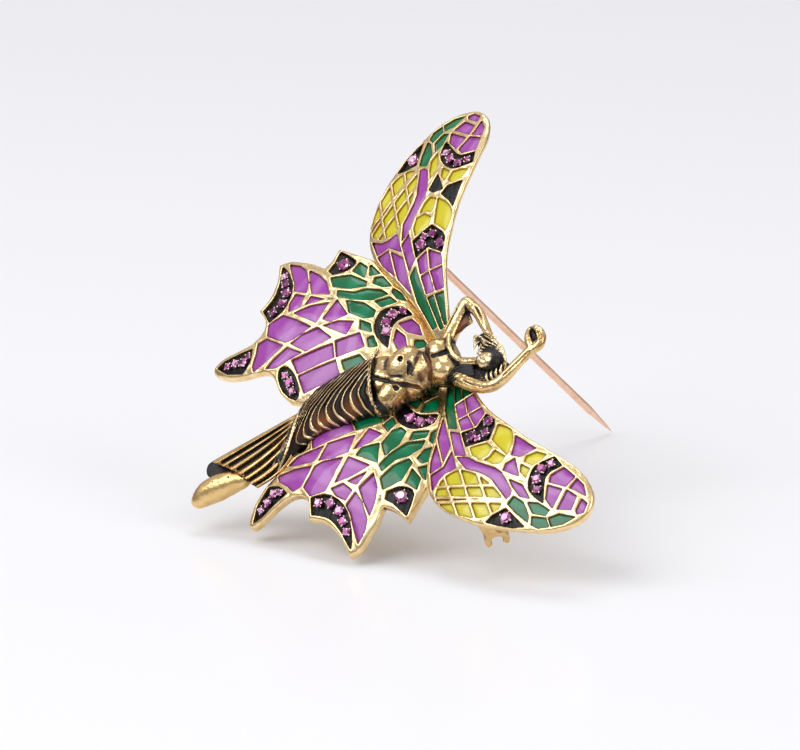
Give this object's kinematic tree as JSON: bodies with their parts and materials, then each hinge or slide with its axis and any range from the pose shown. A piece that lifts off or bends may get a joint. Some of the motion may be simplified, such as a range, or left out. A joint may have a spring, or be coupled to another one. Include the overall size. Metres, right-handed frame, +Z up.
{
  "type": "brooch",
  "caption": "Butterfly-winged lady brooch: cast antique-gold wings with enamel cells and set stones, a draped figure, and a hinged pin with a hook catch.",
  "frame": {"origin": "middle of the bounding box, on the surface that the brooch stands on with its pin open", "axes": "+Z up from that surface; +X towards the head end; -Y towards the viewer, who sees the front face; the brooch leans back on its right hind wing and on the open pin's point"},
  "size_m": [0.0536, 0.0702, 0.0477],
  "materials": {
    "antique_gold": "gold-plated casting, polished on the high places",
    "antique_gold_dark": "gold-plated casting with black patina in the recesses",
    "rose_gold": "drawn wire, polished rose-gold plate",
    "purple_enamel": "glossy cold enamel",
    "green_enamel": "glossy cold enamel",
    "yellow_enamel": "glossy cold enamel",
    "black_enamel": "glossy black enamel and gem beds",
    "rhinestone": "faceted, foil-backed"
  },
  "bodies": {
    "brooch": {"fore_wing_left": "antique_gold", "fore_wing_right": "antique_gold", "hind_wing_left": "antique_gold", "hind_wing_right": "antique_gold", "fore_purple_left": "purple_enamel", "fore_purple_right": "purple_enamel", "fore_green_left": "green_enamel", "fore_green_right": "green_enamel", "fore_yellow_left": "yellow_enamel", "fore_yellow_right": "yellow_enamel", "fore_black_left": "black_enamel", "fore_black_right": "black_enamel", "hind_purple_left": "purple_enamel", "hind_purple_right": "purple_enamel", "hind_green_left": "green_enamel", "hind_green_right": "green_enamel", "hind_black_left": "black_enamel", "hind_black_right": "black_enamel", "fore_stones_left": "rhinestone", "fore_stones_right": "rhinestone", "hind_stones_left": "rhinestone", "hind_stones_right": "rhinestone", "figure": "antique_gold_dark", "skirt": "antique_gold_dark", "tail_fan": "antique_gold_dark", "tail_lobe": "antique_gold", "back_bridge": "antique_gold", "pin_joint": "antique_gold", "joint_rivet": "antique_gold", "catch": "antique_gold"},
    "pin": {"pin_stem": "rose_gold"}
  },
  "joints": [
    {"name": "pin_hinge", "type": "hinge", "parent": "brooch", "child": "pin", "pos_m": [0.00179, 0.00968, 0.03124], "axis": [0.8347, -0.1813, 0.52], "range_deg": [-86, 30]}
  ]
}
